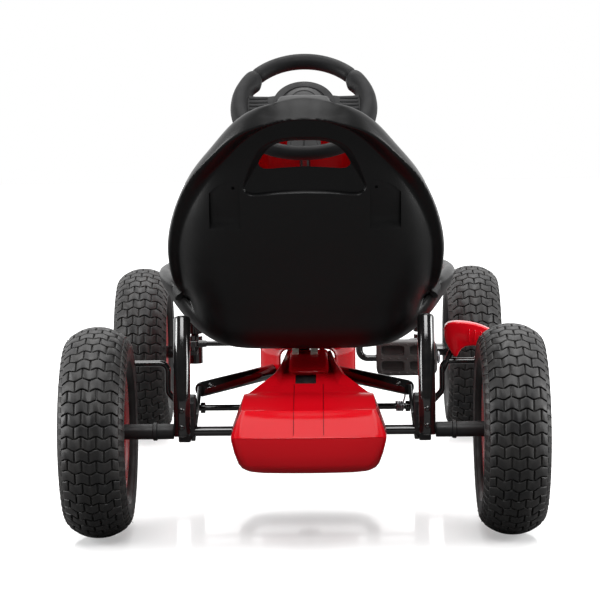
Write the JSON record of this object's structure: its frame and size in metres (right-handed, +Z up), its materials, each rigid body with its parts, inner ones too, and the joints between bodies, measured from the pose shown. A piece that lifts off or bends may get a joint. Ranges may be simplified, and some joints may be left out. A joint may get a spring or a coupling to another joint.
{
  "type": "pedal go kart",
  "caption": "Child's chain-driven pedal go kart with bucket seat, steered front wheels, block-tread tyres, hand brake and red covers.",
  "frame": {"origin": "on the ground under the middle of the kart's bounding box", "axes": "+Y forwards along the kart's length, +X to the driver's right, +Z up"},
  "size_m": [0.588, 1.05, 0.5954],
  "materials": {
    "red_plastic": "glossy red moulded plastic",
    "red_rim": "glossy red moulded rims",
    "tyre": "black tyre rubber with turf block tread",
    "tube_rubber": "matt black inner tube",
    "seat_plastic": "satin black blown plastic with a fine grain",
    "wheel_plastic": "dark grey grained plastic",
    "black_plastic": "satin black moulded plastic",
    "zinc_steel": "zinc plated steel",
    "black_paint": "gloss black powder-coated steel"
  },
  "bodies": {
    "frame": {"axle_block_left": "black_plastic", "axle_block_right": "black_plastic", "backbone_tube": "black_paint", "body_cover": "red_plastic", "chain": "zinc_steel", "column_bearing_plate": "black_paint", "column_bush": "black_plastic", "column_post": "black_paint", "crank_shell": "black_paint", "cross_tube_left": "black_paint", "cross_tube_right": "black_paint", "front_beam": "black_paint", "front_bumper": "black_paint", "front_channel": "black_paint", "front_shield": "red_plastic", "nose": "red_plastic", "rear_cover_lower": "red_plastic", "rear_cover_upper": "red_plastic", "return_spring": "zinc_steel", "seat": "seat_plastic", "seat_bracket": "black_paint", "seat_upright_left": "black_paint", "seat_upright_right": "black_paint", "side_plate_left": "black_paint", "side_plate_right": "black_paint"},
    "rear_axle_set": {"rear_axle": "zinc_steel", "axle_nut_left": "zinc_steel", "axle_nut_right": "zinc_steel", "axle_collar_left": "black_plastic", "axle_collar_right": "black_plastic", "rear_sprocket": "zinc_steel", "tyre_rear_left": "tyre", "tyre_rear_right": "tyre", "rim_rear_left": "red_rim", "rim_rear_right": "red_rim", "inner_tube_rear_left": "tube_rubber", "inner_tube_rear_right": "tube_rubber"},
    "crank": {"crank_rod": "black_paint", "chainring": "zinc_steel"},
    "pedal_left": {"pedal_left": "black_plastic"},
    "pedal_right": {"pedal_right": "black_plastic"},
    "steering": {"steering_column": "black_paint", "steering_wheel": "wheel_plastic", "steering_cap": "black_plastic"},
    "knuckle_left": {"knuckle_left": "black_paint", "kingpin_nut_left": "zinc_steel", "wheel_nut_left": "zinc_steel"},
    "knuckle_right": {"knuckle_right": "black_paint", "kingpin_nut_right": "zinc_steel", "wheel_nut_right": "zinc_steel"},
    "tie_rod": {"tie_rod": "black_paint"},
    "front_wheel_left": {"tyre_front_left": "tyre", "rim_front_left": "red_rim", "inner_tube_front_left": "tube_rubber"},
    "front_wheel_right": {"tyre_front_right": "tyre", "rim_front_right": "red_rim", "inner_tube_front_right": "tube_rubber"},
    "brake": {"brake_rod": "black_paint", "brake_handle": "red_plastic"}
  },
  "joints": [
    {"name": "rear_axle_spin", "type": "hinge", "parent": "frame", "child": "rear_axle_set", "pos_m": [0, -0.395, 0.13], "axis": [1, 0, 0], "continuous": true},
    {"name": "crank_spin", "type": "hinge", "parent": "frame", "child": "crank", "pos_m": [0, 0.115, 0.24], "axis": [1, 0, 0], "continuous": true},
    {"name": "pedal_left_spin", "type": "hinge", "parent": "crank", "child": "pedal_left", "pos_m": [-0.1445, 0.115, 0.33], "axis": [1, 0, 0], "continuous": true},
    {"name": "pedal_right_spin", "type": "hinge", "parent": "crank", "child": "pedal_right", "pos_m": [0.1445, 0.115, 0.15], "axis": [1, 0, 0], "continuous": true},
    {"name": "steering_turn", "type": "hinge", "parent": "frame", "child": "steering", "pos_m": [0, 0.33743, 0.19243], "axis": [0, -0.7071, 0.7071], "range_deg": [-25, 25]},
    {"name": "knuckle_left_turn", "type": "hinge", "parent": "frame", "child": "knuckle_left", "pos_m": [-0.176, 0.355, 0.13], "axis": [0, 0, 1], "range_deg": [-25, 25]},
    {"name": "knuckle_right_turn", "type": "hinge", "parent": "frame", "child": "knuckle_right", "pos_m": [0.176, 0.355, 0.13], "axis": [0, 0, 1], "range_deg": [-25, 25]},
    {"name": "tie_rod_turn", "type": "hinge", "parent": "knuckle_left", "child": "tie_rod", "pos_m": [-0.176, 0.295, 0.15], "axis": [0, 0, 1], "range_deg": [-25, 25]},
    {"name": "front_left_spin", "type": "hinge", "parent": "knuckle_left", "child": "front_wheel_left", "pos_m": [-0.254, 0.355, 0.13], "axis": [1, 0, 0], "continuous": true},
    {"name": "front_right_spin", "type": "hinge", "parent": "knuckle_right", "child": "front_wheel_right", "pos_m": [0.254, 0.355, 0.13], "axis": [1, 0, 0], "continuous": true},
    {"name": "brake_pull", "type": "hinge", "parent": "frame", "child": "brake", "pos_m": [0, -0.2725, 0.14], "axis": [1, 0, 0], "range_deg": [0, 6], "stiffness_Nm_per_rad": 1.5, "springref_deg": -8.59}
  ],
  "couplings": [
    {"joint": "crank_spin", "follows": "rear_axle_spin", "ratio": 0.66667},
    {"joint": "knuckle_left_turn", "follows": "steering_turn", "ratio": 1},
    {"joint": "knuckle_right_turn", "follows": "steering_turn", "ratio": 1},
    {"joint": "tie_rod_turn", "follows": "steering_turn", "ratio": -1}
  ]
}
